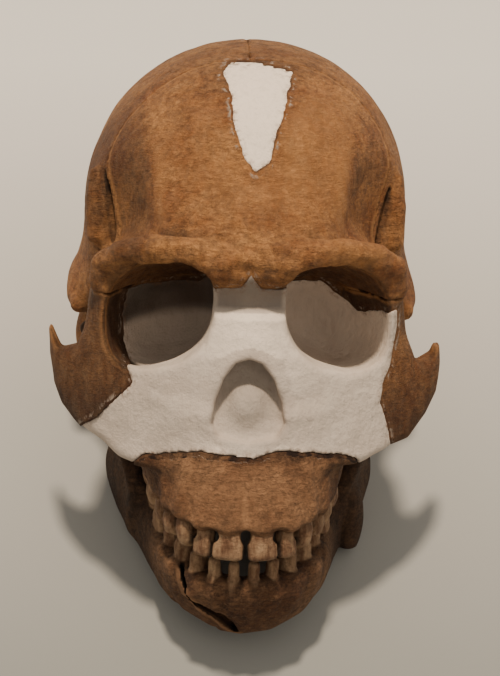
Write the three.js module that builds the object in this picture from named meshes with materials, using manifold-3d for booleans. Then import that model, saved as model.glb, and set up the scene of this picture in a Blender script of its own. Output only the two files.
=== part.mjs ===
// A life-size fossil hominin skull with its lower jaw, as a museum cast shows it: brown bone,
// white plaster where the midface and a strip of the forehead were missing, and the broken
// zygomatic arches, chipped jaw and worn teeth of the fossil. Each bone is one closed solid.
//
// Bones are modelled in the anatomical frame, in millimetres: +X to the skull's own left, +Y to
// the back, +Z up, with the origin midway between the ear openings and the ear-eye plane level.
// The finished group is then tipped back and set on the floor, as the skull rests.
import * as THREE from "three";
import { mergeVertices } from "three/addons/utils/BufferGeometryUtils.js";
import Module from "manifold-3d";

const wasm = await Module();
wasm.setup();

// Driving dimensions
const REST_TILT = 31.9; // degrees that the ear-eye plane tips back when the skull rests
const FLOOR_LEVEL = -44.2; // height of the floor in the tipped frame
const REST_SHIFT = 14.1; // how far back the tipped skull moves to stand over the origin
const GAP = 0.3; // clearance between neighbouring bones
const VAULT_HALF_BREADTH = 52.2;
const VAULT_HEIGHT = 55.5; // from the widest level up to the vertex
const VAULT_UNDER = 50; // from the widest level down to the base
const VAULT_FRONT = 70;
const VAULT_BACK = 60;
const VAULT_LEVEL = 30; // height of the vault's widest level
const VAULT_MIDDLE = 8; // how far behind the ears the vault is widest
const VAULT_LEAN = 0.035; // the fossil is a little crushed: the vault leans to the left as it rises
const ORBIT_X = 26.7;
const ORBIT_Z = 11.5;
const ORBIT_HALF_WIDTH = 16.2;
const ORBIT_HALF_HEIGHT = 15.6;
const ORBIT_DEPTH = 29;
const ORBIT_RIM = -66; // where the sockets begin to narrow
const ORBIT_DROP = 0.2; // how fast a socket falls behind its lower rim
const NOSE_BACK = -69.5; // how far back the plaster fill of the nose lies at its edge
const PLASTER_EDGE = -26.4; // height of the plaster's ragged lower edge on the jaw
const ARCH = { half: 25.6, depth: 59.4, back: -30, power: 2.3 }; // curve through the upper teeth
const LOWER_ARCH = { half: 24, depth: 55.8, back: -30, power: 2.2 };
const BITE_FRONT = -57; // height of the biting edge from the incisors to the canines
const BITE_SLOPE = 0.228; // rise of the biting plane towards the molars
const CANINES = -84; // where the biting plane begins to rise

// Distance functions: negative inside, positive outside
const mix = (a, b, t) => a + (b - a) * t;
const clamp = (v, low, high) => Math.min(high, Math.max(low, v));

function smoothMin(a, b, k) {
  const h = Math.max(k - Math.abs(a - b), 0) / k;
  return Math.min(a, b) - (h * h * k) / 4;
}

const smoothMax = (a, b, k) => -smoothMin(-a, -b, k);

function ellipsoid(x, y, z, { middle: [cx, cy, cz], radii: [rx, ry, rz] }) {
  const u = (x - cx) / rx;
  const v = (y - cy) / ry;
  const w = (z - cz) / rz;
  const near = Math.hypot(u, v, w);
  const slope = Math.hypot(u / rx, v / ry, w / rz);
  return near < 1e-6 ? -Math.min(rx, ry, rz) : (near * (near - 1)) / slope;
}

// A chain of points with a radius at each, as a smooth rod
function rod(x, y, z, points) {
  let best = Infinity;
  for (let i = 0; i + 1 < points.length; i++) {
    const [ax, ay, az, ar] = points[i];
    const [bx, by, bz, br] = points[i + 1];
    const [dx, dy, dz] = [bx - ax, by - ay, bz - az];
    const along = ((x - ax) * dx + (y - ay) * dy + (z - az) * dz) / (dx * dx + dy * dy + dz * dz);
    const t = clamp(along, 0, 1);
    const far = Math.hypot(x - ax - t * dx, y - ay - t * dy, z - az - t * dz);
    best = Math.min(best, far - mix(ar, br, t));
  }
  return best;
}

// Signed distance to a closed outline in a plane
function outlineDistance(u, v, outline) {
  let near = Infinity;
  let inside = false;
  for (let i = 0, j = outline.length - 1; i < outline.length; j = i++) {
    const [ax, ay] = outline[i];
    const [bx, by] = outline[j];
    const [dx, dy] = [bx - ax, by - ay];
    const t = clamp(((u - ax) * dx + (v - ay) * dy) / (dx * dx + dy * dy), 0, 1);
    near = Math.min(near, Math.hypot(u - ax - t * dx, v - ay - t * dy));
    if (ay > v !== by > v && u < (dx * (v - ay)) / dy + ax) inside = !inside;
  }
  return inside ? -near : near;
}

// A value that follows a table of [position, value] rows
function follow(table, at) {
  let i = 0;
  while (i + 2 < table.length && at > table[i + 1][0]) i++;
  const [[p, a], [q, b]] = [table[i], table[i + 1]];
  return mix(a, b, clamp((at - p) / (q - p), 0, 1));
}

// Braincase
function vault(x, y, z) {
  const back = y - VAULT_MIDDLE;
  const u = Math.abs(x - VAULT_LEAN * Math.max(z - VAULT_LEVEL, 0)) / VAULT_HALF_BREADTH;
  const v = Math.abs(back) / (back < 0 ? VAULT_FRONT : VAULT_BACK);
  const w = Math.abs(z - VAULT_LEVEL) / (z > VAULT_LEVEL ? VAULT_HEIGHT : VAULT_UNDER);
  const plan = (u ** 2.4 + v ** 2.4) ** (1 / 2.4);
  const size = Math.max((plan ** 2.15 + w ** 2.15) ** (1 / 2.15), 1e-6);
  return Math.hypot(x, back, z - VAULT_LEVEL) * (1 - 1 / size);
}

// The forehead slopes back from the brow, and the temples are hollow beside it
const FOREHEAD = { middle: [0, -48, 29], radii: [31, 25, 20] };
const TEMPLE = { middle: [88.9, -70.9, 40], radii: [63, 63, 80] };
const EAR_BREADTH = { middle: [0, 2, 8], radii: [55.4, 38, 24] };
const NAPE = { middle: [0, 36, 2], radii: [43, 31, 26.4] };
const MASTOID = { middle: [46.5, 13, -13], radii: [8.5, 10.5, 14] };
const OCCIPITAL_CONDYLE = { middle: [10.5, 0, -21], radii: [5, 8.5, 5] };
const SKULL_BASE = { middle: [0, -20, -10], radii: [16, 24, 12] };
const FORAMEN = { middle: [0, 17, -27], radii: [12.5, 15.5, 12] };
// Crests as rods of [x, y, z, radius] points
const EAR_CREST = [[53, -12, 1.5, 2.6], [52.4, -4, 3, 4.4], [51.5, 12, 7, 4.6], [46, 30, 13, 3.4]];
const NUCHAL_LINE = [[0, 64.5, 9, 4], [18, 62, 10, 4], [34, 53, 9, 3.5], [45, 36, 6, 3]];
const PTERYGOID = [[12, -30, -16, 4.2], [13.5, -33, -27, 3.2], [15, -35, -36, 2.4]];

function braincase(x, y, z) {
  const side = Math.abs(x);
  let d = smoothMin(vault(x, y, z), ellipsoid(x, y, z, FOREHEAD), 8);
  d = smoothMax(d, -ellipsoid(side, y, z, TEMPLE), 3);
  d = smoothMin(d, ellipsoid(x, y, z, EAR_BREADTH), 10);
  d = smoothMin(d, ellipsoid(x, y, z, NAPE), 9);
  d = smoothMin(d, rod(side, y, z, EAR_CREST), 6);
  d = smoothMin(d, rod(side, y, z, NUCHAL_LINE), 7);
  d = smoothMin(d, ellipsoid(side, y, z, MASTOID), 6);
  d = smoothMin(d, ellipsoid(side, y, z, OCCIPITAL_CONDYLE), 4);
  d = smoothMin(d, ellipsoid(x, y, z, SKULL_BASE), 8);
  d = smoothMin(d, rod(side, y, z, PTERYGOID), 5);
  return smoothMax(d, -ellipsoid(x, y, z, FORAMEN), 3);
}

// Brow ridge, eye sockets and the plate of the face
const BROW = [[0, -71.8, 26.6, 5], [8, -73.4, 27, 5.6], [18, -73.8, 30.8, 4.7],
  [28, -71.4, 31.8, 4.2], [37, -66.5, 29.4, 4.2], [42.8, -60.8, 24.8, 4.2],
  [43.9, -58.4, 19.8, 3.6]];
// The face's middle line from the side, in [height, distance in front of the ears] pairs
const MIDLINE = [[-60, 89], [-47, 88], [-36, 84], [-28, 82], [-12, 81], [0, 79.4], [12, 76.4],
  [15, 72], [21, 69.4], [27, 72]];
// The mask's outline seen from the front, in [x, z] pairs: skull's left side, then its right
const MASK_LEFT = [[0, 30], [40, 27], [46, 20], [47, 12], [49.8, 4], [52.8, -4.2], [56.4, -3.2],
  [57.6, -0.7], [61.3, -0.9], [61.6, -8], [60.4, -16.4], [57.2, -22.8], [51, -29.6], [46, -30.6],
  [39, -32.4], [33, -34.4]];
const MASK_RIGHT = [[-32, -35.4], [-38, -34], [-44, -31], [-50, -27.8], [-52.8, -25.6],
  [-56.8, -21.8], [-59.8, -15.6], [-61.4, -7], [-61.6, 0.6], [-60.6, 3], [-58.6, 2.4], [-55.4, -2.6],
  [-52.2, -1.4], [-50.4, 2.4], [-48.4, 8.7], [-47, 15.5], [-45.5, 21], [-40, 27]];
const MASK = [...MASK_LEFT, ...MASK_RIGHT];
const CHEEK_THICKNESS = 9; // front to back
const EDGE_ROUNDING = 1.2; // keeps the mask's rounded edge inside its outline
const FACE_CORE = { middle: [0, -47, -8], radii: [33, 34, 27] };
const ORBIT_WALL = { middle: [26, -48, 11.5], radii: [21, 25, 21] };
// The tooth-bearing block in plan, wide at the cheeks and narrower by the teeth
const JAW_BLOCK = { half: [34.5, 30.6], depth: [47, 57], back: -36, top: -24, fall: 24 };
const PALATE = { half: 19.5, depth: 43, back: -30, power: 2.4 };
const PALATE_HEIGHT = 18; // above the biting plane
const GUM = 9.6; // height of the bone's edge above the biting plane

function faceFront(x, z) {
  const side = Math.sqrt(x * x + 9) - 3;
  return -(follow(MIDLINE, z) - 0.1 * side - 0.0085 * side * side);
}

// Distance to an arch seen from above, such as a row of teeth or the palate
function archDistance(x, y, { half, depth, back, power }) {
  const u = Math.abs(x) / half;
  const v = Math.max(back - y, 0) / depth;
  const size = Math.max((u ** power + v ** power) ** (1 / power), 1e-3);
  return Math.hypot(x, Math.max(back - y, 0)) * (1 - 1 / size);
}

const bitePlane = (y) => BITE_FRONT + BITE_SLOPE * Math.max(y - CANINES, 0);

function jawBlock(x, y, z) {
  const drop = clamp((JAW_BLOCK.top - z) / JAW_BLOCK.fall, 0, 1);
  const half = mix(...JAW_BLOCK.half, drop);
  const depth = mix(...JAW_BLOCK.depth, drop);
  const plan = archDistance(x, y, { half, depth, back: JAW_BLOCK.back, power: 2.4 });
  const margin = bitePlane(y) + GUM - z;
  return smoothMax(smoothMax(plan, margin, 3), Math.max(z + 14, y + 31), 4);
}

function face(x, y, z) {
  const side = Math.abs(x);
  const front = (faceFront(x, z) - y) * 0.82;
  const rim = outlineDistance(x, z, MASK) + EDGE_ROUNDING;
  let plate = smoothMax(front, y - faceFront(x, z) - CHEEK_THICKNESS, 3);
  plate = smoothMax(plate, rim, 4);
  const core = smoothMax(smoothMax(ellipsoid(x, y, z, FACE_CORE), front, 3), rim, 4);
  let d = smoothMin(plate, core, 4);
  d = smoothMin(d, ellipsoid(side, y, z, ORBIT_WALL), 5);
  d = smoothMin(d, rod(side, y, z, BROW), 7);
  d = smoothMin(d, jawBlock(x, y, z), 4);
  const palate = archDistance(x, y, PALATE);
  return smoothMax(d, -smoothMax(palate, z - bitePlane(y) - PALATE_HEIGHT, 6), 3);
}

// Lower jaw: half of the arch as rows of [x, y, middle height, half height, half thickness, lean]
const JAW_PATH = [[0, -76.8, -75.8, 11.2, 6.8, 0.62], [9.5, -74.8, -74.8, 10.8, 6.8, 0.52],
  [16.5, -68.5, -72.4, 10.4, 6.4, 0.34], [21, -58, -69.2, 10.4, 6.2, 0.16],
  [24.4, -46, -65.4, 10.4, 6.4, 0.06], [29.6, -33, -61, 9.6, 5.8, 0], [35.6, -20, -56, 7.8, 4.4, 0],
  [39, -12, -52, 6, 3.6, 0]];
// The ramus seen from the side, in [y, z] pairs
const RAMUS = [[-5, -4.5], [3, -8], [1.5, -20], [-2.5, -38], [-5.5, -52], [-11, -59.5], [-22, -64],
  [-36, -66], [-43, -56], [-40, -40], [-38.5, -22], [-34.5, -10.5], [-30.5, -12], [-24, -20.5],
  [-15, -21.5], [-8.5, -13]];
const RAMUS_THICKNESS = 6.2;
const CONDYLE = { middle: [44.4, -2, -8.6], radii: [8.6, 4.2, 4.6] };
// How far out each ramus stands near its angle, and how far its front edge bends in
const RAMUS_LEFT = [38.8, 7.5];
const RAMUS_RIGHT = [37.2, 5];

function jawBody(x, y, z) {
  const side = Math.abs(x);
  let near = Infinity;
  let found;
  for (let i = 0; i + 1 < JAW_PATH.length; i++) {
    const [a, b] = [JAW_PATH[i], JAW_PATH[i + 1]];
    const [dx, dy] = [b[0] - a[0], b[1] - a[1]];
    const t = clamp(((side - a[0]) * dx + (y - a[1]) * dy) / (dx * dx + dy * dy), 0, 1);
    const [ox, oy] = [side - a[0] - t * dx, y - a[1] - t * dy];
    const far = Math.hypot(ox, oy);
    if (far < near) {
      near = far;
      found = { t, a, b, outward: ox * -dy + oy * dx < 0 ? 1 : -1 };
    }
  }
  const [height, half, thick, lean] = [2, 3, 4, 5].map((k) => mix(found.a[k], found.b[k], found.t));
  const w = z - height;
  const u = near * found.outward - lean * w;
  const size = Math.max(((Math.abs(u) / thick) ** 2.6 + (Math.abs(w) / half) ** 2.6) ** (1 / 2.6), 1e-3);
  return Math.hypot(u, w) * (1 - 1 / size);
}

function ramus(x, y, z) {
  const side = Math.abs(x);
  const [middle, bend] = x < 0 ? RAMUS_RIGHT : RAMUS_LEFT;
  const inward = clamp((-y - 14) * 0.3, 0, bend) * clamp((-z - 26) / 26, 0, 1);
  const plane = middle + (z + 52) * 0.1 - inward;
  const across = Math.abs(side - plane) - RAMUS_THICKNESS / 2;
  const slab = smoothMax(outlineDistance(y, z, RAMUS) + 0.6, across, 3);
  return smoothMin(slab, ellipsoid(side, y, z, CONDYLE), 4);
}

function lowerJaw(x, y, z) {
  return smoothMin(jawBody(x, y, z), ramus(x, y, z), 6);
}

const JAW_CLEARANCE = 1.2; // between the ramus and the skull base around it

function cranium(x, y, z) {
  return smoothMin(braincase(x, y, z), face(x, y, z), 6);
}

// Meshing: one vertex in each grid cell that the surface crosses, drawn onto the surface
function steps(marks) {
  const out = [marks[0][0]];
  for (let i = 0; i + 1 < marks.length; i++) {
    const [from, size] = marks[i];
    const count = Math.round((marks[i + 1][0] - from) / size);
    for (let k = 1; k <= count; k++) out.push(mix(from, marks[i + 1][0], k / count));
  }
  return out;
}

function surface(field, xs, ys, zs) {
  const [nx, ny, nz] = [xs.length, ys.length, zs.length];
  const at = (i, j, k) => (k * ny + j) * nx + i;
  const values = new Float64Array(nx * ny * nz);
  for (let k = 0; k < nz; k++)
    for (let j = 0; j < ny; j++)
      for (let i = 0; i < nx; i++) values[at(i, j, k)] = field(xs[i], ys[j], zs[k]) || 1e-6;
  fillAmbiguousFaces(values, nx, ny, nz, at);
  const vertexOf = new Map();
  const positions = [];
  for (let k = 0; k + 1 < nz; k++)
    for (let j = 0; j + 1 < ny; j++)
      for (let i = 0; i + 1 < nx; i++) {
        const p = cellPoint(values, xs, ys, zs, i, j, k, at);
        if (!p) continue;
        vertexOf.set(at(i, j, k), positions.length / 3);
        positions.push(...settle(field, p, [xs[i], ys[j], zs[k]], [xs[i + 1], ys[j + 1], zs[k + 1]]));
      }
  const index = [];
  const steps3 = [[1, 0, 0], [0, 1, 0], [0, 0, 1]];
  for (let k = 1; k + 1 < nz; k++)
    for (let j = 1; j + 1 < ny; j++)
      for (let i = 1; i + 1 < nx; i++)
        for (let axis = 0; axis < 3; axis++) {
          const [ex, ey, ez] = steps3[axis];
          const here = values[at(i, j, k)];
          const next = values[at(i + ex, j + ey, k + ez)];
          if (here < 0 === next < 0) continue;
          const [ux, uy, uz] = steps3[(axis + 1) % 3];
          const [vx, vy, vz] = steps3[(axis + 2) % 3];
          const quad = [at(i, j, k), at(i - ux, j - uy, k - uz), at(i - ux - vx, j - uy - vy, k - uz - vz),
            at(i - vx, j - vy, k - vz)].map((c) => vertexOf.get(c));
          if (here >= 0) quad.reverse();
          addQuad(index, positions, quad);
        }
  const geometry = new THREE.BufferGeometry();
  geometry.setAttribute("position", new THREE.Float32BufferAttribute(positions, 3));
  geometry.setIndex(index);
  return geometry;
}

// A grid face with its two diagonals of opposite sign would let the surface touch itself
function fillAmbiguousFaces(values, nx, ny, nz, at) {
  const faces = [[1, 0, 0, 0, 1, 0], [0, 1, 0, 0, 0, 1], [1, 0, 0, 0, 0, 1]];
  for (let again = true; again; ) {
    again = false;
    for (let k = 0; k + 1 < nz; k++)
      for (let j = 0; j + 1 < ny; j++)
        for (let i = 0; i + 1 < nx; i++)
          for (const [ax, ay, az, bx, by, bz] of faces) {
            const c = [at(i, j, k), at(i + ax, j + ay, k + az), at(i + ax + bx, j + ay + by, k + az + bz),
              at(i + bx, j + by, k + bz)];
            const s = c.map((n) => values[n] < 0);
            if (s[0] !== s[2] || s[1] !== s[3] || s[0] === s[1]) continue;
            const outside = s[0] ? [c[1], c[3]] : [c[0], c[2]];
            values[values[outside[0]] < values[outside[1]] ? outside[0] : outside[1]] = -0.05;
            again = true;
          }
  }
}

const CUBE_EDGES = [[0, 1], [2, 3], [4, 5], [6, 7], [0, 2], [1, 3], [4, 6], [5, 7], [0, 4], [1, 5],
  [2, 6], [3, 7]];

function cellPoint(values, xs, ys, zs, i, j, k, at) {
  const corner = (c) => [i + (c & 1), j + ((c >> 1) & 1), k + (c >> 2)];
  const sum = [0, 0, 0];
  let count = 0;
  for (const [a, b] of CUBE_EDGES) {
    const [ca, cb] = [corner(a), corner(b)];
    const [va, vb] = [values[at(...ca)], values[at(...cb)]];
    if (va < 0 === vb < 0) continue;
    const t = va / (va - vb);
    sum[0] += mix(xs[ca[0]], xs[cb[0]], t);
    sum[1] += mix(ys[ca[1]], ys[cb[1]], t);
    sum[2] += mix(zs[ca[2]], zs[cb[2]], t);
    count++;
  }
  return count ? sum.map((v) => v / count) : null;
}

function settle(field, start, low, high) {
  let p = start;
  const h = 0.2;
  for (let n = 0; n < 4; n++) {
    const [x, y, z] = p;
    const value = field(x, y, z);
    const g = [field(x + h, y, z) - field(x - h, y, z), field(x, y + h, z) - field(x, y - h, z),
      field(x, y, z + h) - field(x, y, z - h)].map((v) => v / (2 * h));
    const size = Math.max(g[0] * g[0] + g[1] * g[1] + g[2] * g[2], 0.05);
    p = p.map((v, a) => {
      const room = 0.03 * (high[a] - low[a]);
      return clamp(v - (0.8 * value * g[a]) / size, low[a] + room, high[a] - room);
    });
  }
  return p;
}

function addQuad(index, positions, [a, b, c, d]) {
  const far = (m, n) =>
    Math.hypot(...[0, 1, 2].map((k) => positions[3 * m + k] - positions[3 * n + k]));
  if (far(a, c) <= far(b, d)) index.push(a, b, c, a, c, d);
  else index.push(a, b, d, b, c, d);
}

// Solids
function solid(geometry) {
  const bare = geometry.clone();
  bare.deleteAttribute("normal");
  bare.deleteAttribute("uv");
  const merged = mergeVertices(bare, 1e-3);
  return new wasm.Manifold(new wasm.Mesh({
    numProp: 3,
    vertProperties: new Float32Array(merged.attributes.position.array),
    triVerts: new Uint32Array(merged.index.array),
  }));
}

function largest(body) {
  return body.decompose().reduce((best, piece) => (piece.volume() > best.volume() ? piece : best));
}

function geometryOf(body) {
  const mesh = body.getMesh();
  const geometry = new THREE.BufferGeometry();
  geometry.setAttribute("position", new THREE.Float32BufferAttribute(mesh.vertProperties, 3));
  geometry.setIndex(new THREE.Uint32BufferAttribute(mesh.triVerts, 1));
  geometry.computeVertexNormals();
  return geometry;
}

// Moves each side of a closed outline outwards
function widened(outline, by) {
  const turn = Math.sign(THREE.ShapeUtils.area(outline.map(([u, v]) => new THREE.Vector2(u, v))));
  return outline.map(([u, v], i) => {
    const [pu, pv] = outline[(i + outline.length - 1) % outline.length];
    const [nu, nv] = outline[(i + 1) % outline.length];
    const before = new THREE.Vector2(v - pv, pu - u).normalize();
    const after = new THREE.Vector2(nv - v, u - nu).normalize();
    const out = before.clone().add(after);
    out.multiplyScalar((turn * by * 2) / Math.max(out.lengthSq(), 0.5));
    return [u + out.x, v + out.y];
  });
}

function prism(outline, from, to, toWorld) {
  const shape = new THREE.Shape(outline.map(([u, v]) => new THREE.Vector2(u, v)));
  const geometry = new THREE.ExtrudeGeometry(shape, { depth: to - from, bevelEnabled: false });
  geometry.translate(0, 0, from);
  const made = solid(geometry.applyMatrix4(toWorld));
  return made.volume() < 0 ? null : made;
}

// A prism seen from the front has its outline in x and z, one seen from the side in y and z
const FRONT_VIEW = new THREE.Matrix4().makeRotationX(Math.PI / 2);
const SIDE_VIEW = new THREE.Matrix4().set(0, 0, 1, 0, 1, 0, 0, 0, 0, 1, 0, 0, 0, 0, 0, 1);

// Cuts a region out of a body and leaves a thin gap: returns the region's piece and the rest
function split(body, outline, from, to, view) {
  const inner = prism(outline, from, to, view);
  const outer = prism(widened(outline, GAP), from - GAP, to + GAP, view);
  return [largest(body.intersect(inner)), largest(body.subtract(outer))];
}

// An eye socket: a rounded hollow that narrows and turns inwards towards its back
function eyeSocket(side) {
  const power = 2.4;
  const profile = [new THREE.Vector2(0, -24), new THREE.Vector2(1.03, -24)];
  for (const t of [0, 0.25, 0.45, 0.62, 0.77, 0.89, 0.97]) {
    profile.push(new THREE.Vector2((1 - t ** power) ** (1 / power), t * ORBIT_DEPTH));
  }
  profile.push(new THREE.Vector2(0, ORBIT_DEPTH));
  const geometry = new THREE.LatheGeometry(profile, 20);
  const position = geometry.attributes.position;
  for (let i = 0; i < position.count; i++) {
    const [px, deep, pz] = [position.getX(i), position.getY(i), position.getZ(i)];
    const round = Math.max(Math.hypot(px, pz), 1e-6);
    const spread = Math.abs(px / round) ** power + Math.abs(pz / round) ** power;
    const square = Math.max(spread, 0.5) ** (-1 / power);
    const out = px * square * ORBIT_HALF_WIDTH;
    const x = side * (ORBIT_X - Math.max(deep, 0) * 0.2 + out);
    const z = ORBIT_Z - 0.24 * out - ORBIT_DROP * Math.max(deep, 0) + pz * square * ORBIT_HALF_HEIGHT;
    position.setXYZ(i, x, ORBIT_RIM + deep, z);
  }
  return side > 0 ? solid(geometry) : flipped(geometry);
}

// The nasal opening, with the plaster that fills it standing proud inside its edge
const NOSE = [[0, 0.2], [3.4, -1], [6.9, -5.4], [9.3, -12.2], [10.3, -17.6], [8.2, -21.4], [0, -23]];
// The fill seen from the side, in [y, z] pairs: deep at the top and nearly flush at the sill
const NOSE_FILL = [[-60, 6], [-69, 6], [-71.5, -4], [-77.6, -15.6], [-80.4, -23], [-80.6, -34], [-60, -34]];
const NOSE_MOUND = { y: -72, z: -15.2, rx: 7.4, ry: 8.4, rz: 8.4 };

function mirrored(half) {
  return [...half, ...half.slice(1, -1).reverse().map(([u, v]) => [-u, v])];
}

function noseOpening() {
  const { y, z, rx, ry, rz } = NOSE_MOUND;
  const mound = solid(new THREE.SphereGeometry(1, 14, 9).scale(rx, ry, rz).translate(0, y, z));
  const hollow = prism(mirrored(NOSE), -NOSE_BACK, 100, FRONT_VIEW);
  return hollow.subtract(prism(NOSE_FILL, -30, 30, SIDE_VIEW)).subtract(mound);
}

// Teeth: [name, width along the arch, depth across it, crown height]
const UPPER_TEETH = [["incisor", 9.2, 6.6, 8.8], ["incisor", 6.6, 6.2, 8.4],
  ["canine", 7.6, 8.2, 9.4], ["premolar", 7.5, 9.8, 7.2], ["premolar", 7.8, 10.2, 7],
  ["molar", 11, 11.2, 6.8], ["molar", 11.6, 11.8, 6.8], ["molar", 10.2, 11, 6.6]];
const LOWER_TEETH = [["incisor", 5.6, 6, 9.6], ["incisor", 5.9, 6.2, 9.8],
  ["canine", 6.6, 7.4, 11.4], ["premolar", 7.9, 8.4, 7.4], ["premolar", 8, 8.8, 7],
  ["molar", 11.4, 10.6, 6.8], ["molar", 12, 11, 6.8], ["molar", 11.4, 10.4, 6.6]];
const ROOT = 7; // how far an upper root is sunk in the bone
const LOWER_ROOT = 3;
// The lower front teeth are worn to narrow pegs: their breadth as a share of their place
const PEG = { incisor: 0.6, canine: 0.64, premolar: 0.85, molar: 0.97 };
const BITE_GAP = 1.2;

// Places along a tooth arch, half a tooth at a time: [x, y, heading]
function toothPlaces(arch, widths) {
  const points = [];
  for (let i = 0; i <= 400; i++) {
    const a = (i / 400) * (Math.PI / 2);
    const across = arch.half * Math.sin(a) ** (2 / arch.power);
    points.push([across, arch.back - arch.depth * Math.cos(a) ** (2 / arch.power)]);
  }
  let [travelled, i] = [0, 0];
  let edge = 0;
  return widths.map((width) => {
    const target = edge + width / 2;
    edge += width;
    while (i + 2 < points.length && travelled < target) {
      travelled += Math.hypot(points[i + 1][0] - points[i][0], points[i + 1][1] - points[i][1]);
      i++;
    }
    const [p, q] = [points[Math.max(i - 6, 0)], points[Math.min(i + 6, points.length - 1)]];
    return [points[i][0], points[i][1], Math.atan2(q[1] - p[1], q[0] - p[0])];
  });
}

// One tooth, root down and biting surface up, before it is turned into place
const TOOTH_PROFILES = {
  incisor: [[0.42, 0], [0.76, 0.45], [1, 0.72], [1.05, 0.97]],
  canine: [[0.5, 0], [0.86, 0.45], [0.98, 0.68], [0.5, 0.98]],
  premolar: [[0.56, 0], [0.88, 0.45], [1.04, 0.75], [0.7, 0.98]],
  molar: [[0.6, 0], [0.9, 0.45], [1.04, 0.75], [0.76, 0.98]],
};

function tooth([kind, place, depth, crown], upper) {
  const width = upper ? place : place * PEG[kind];
  const long = ROOT + crown;
  const root = upper ? ROOT : LOWER_ROOT;
  const height = (h) => Math.max(h * long - ROOT, -root);
  const profile = TOOTH_PROFILES[kind].map(([r, h]) => new THREE.Vector2(r, height(h)));
  profile.unshift(new THREE.Vector2(0, -root));
  profile.push(new THREE.Vector2(0, crown));
  const geometry = new THREE.LatheGeometry(profile, 8).rotateX(Math.PI / 2).rotateZ(Math.PI / 8);
  const edge = kind === "incisor" ? 0.55 : 1; // an incisor narrows front to back at its edge
  const position = geometry.attributes.position;
  for (let i = 0; i < position.count; i++) {
    const up = clamp(position.getZ(i) / crown, 0, 1);
    position.setX(i, (position.getX(i) * width) / 2);
    position.setY(i, (position.getY(i) * depth * mix(1, edge, up)) / 2);
  }
  return geometry;
}

function toothRow(teeth, arch, upper) {
  const made = [];
  toothPlaces(arch, teeth.map((t) => t[1])).forEach(([x, y, heading], i) => {
    for (const side of [1, -1]) {
      const geometry = tooth(teeth[i], upper);
      const lean = clamp((-y - 70) / 23, 0, 1) * (upper ? 0.3 : 0.22);
      const turn = new THREE.Matrix4().makeRotationZ(side * heading);
      const tip = new THREE.Matrix4().makeRotationX(lean);
      geometry.applyMatrix4(tip).applyMatrix4(turn);
      if (upper) geometry.applyMatrix4(new THREE.Matrix4().makeScale(1, 1, -1));
      const bite = bitePlane(y) + (upper ? teeth[i][3] : -teeth[i][3] - BITE_GAP);
      geometry.translate(side * x, y, bite);
      const body = upper ? flipped(geometry) : solid(geometry);
      made.push(body);
    }
  });
  return made;
}

// A mirrored geometry has its faces turned inwards, and this turns them back
function flipped(geometry) {
  const index = geometry.index.array;
  for (let i = 0; i < index.length; i += 3) [index[i + 1], index[i + 2]] = [index[i + 2], index[i + 1]];
  return solid(geometry);
}

// Bone outlines. Front views are [x, z] pairs, side views [y, z] pairs.
const MAXILLA = [[-33, -32.6], [-30.6, PLASTER_EDGE - 3.6], [-21, PLASTER_EDGE - 1.9],
  [-13.7, PLASTER_EDGE], [-6, PLASTER_EDGE - 0.6], [1.4, PLASTER_EDGE - 1], [9.6, PLASTER_EDGE + 0.5],
  [15.5, PLASTER_EDGE + 0.3], [28, PLASTER_EDGE - 2.4], [33.4, -30.9], [34.8, -36], [40, -42],
  [40, -75], [-40, -75], [-40, -42], [-34.2, -37]];
const MIDFACE = [[0, 25.4], [3.2, 20.8], [10.2, 20.6], [14, 17], [22.4, 17.4], [30, 11.8],
  [34.4, 8.4], [38.6, 10.3], [44.2, 13], [44.2, 6.4], [43.2, -1.4], [41, -8.8], [40, -15],
  [43, -24.7], [47.2, -40], [-56, -40], [-50.6, -27.2], [-41, -17.6], [-34, -9], [-35.8, -4.8],
  [-37, -1], [-37.6, 6], [-36, 15.5], [-14, 16], [-9.4, 20.8], [-3, 21.2]];
const CHEEK = [[33, -45], [70, -45], [70, 15.8], [30, 15.8], [30, -20]];
const FRONTAL = [[-20, 100], [-20, 81], [-24, 60], [-29, 42], [-34, 27], [-46, 16.2], [-120, 15.9],
  [-120, 100]];
const PATCH = [[-8.8, 78], [-6.4, 81], [2.4, 81.6], [12.8, 79], [11, 73.4], [8.8, 66], [6.2, 59.6],
  [5.4, 55], [1, 52.4], [-2.7, 57.4], [-5.2, 65.4], [-6.2, 73.4]];
const TEMPORAL = [[-31, -34], [-33, -4], [-30, 9], [-27, 22], [-14, 31], [3, 32], [17, 25],
  [27, 12], [28, 0], [24, -34]];
const OCCIPITAL = [[90, 62], [57, 57], [44, 36], [31, 15], [27, 6], [12, 2], [-8, -4], [-10, -60],
  [90, -60]];
const PARIETAL = [[-60, 10], [80, 10], [80, 110], [-60, 110]];

function cheek(body, side) {
  const outline = CHEEK.map(([x, z]) => [side * x, z]);
  return split(body, side > 0 ? outline : outline.reverse(), 37, 120, FRONT_VIEW);
}

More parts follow.
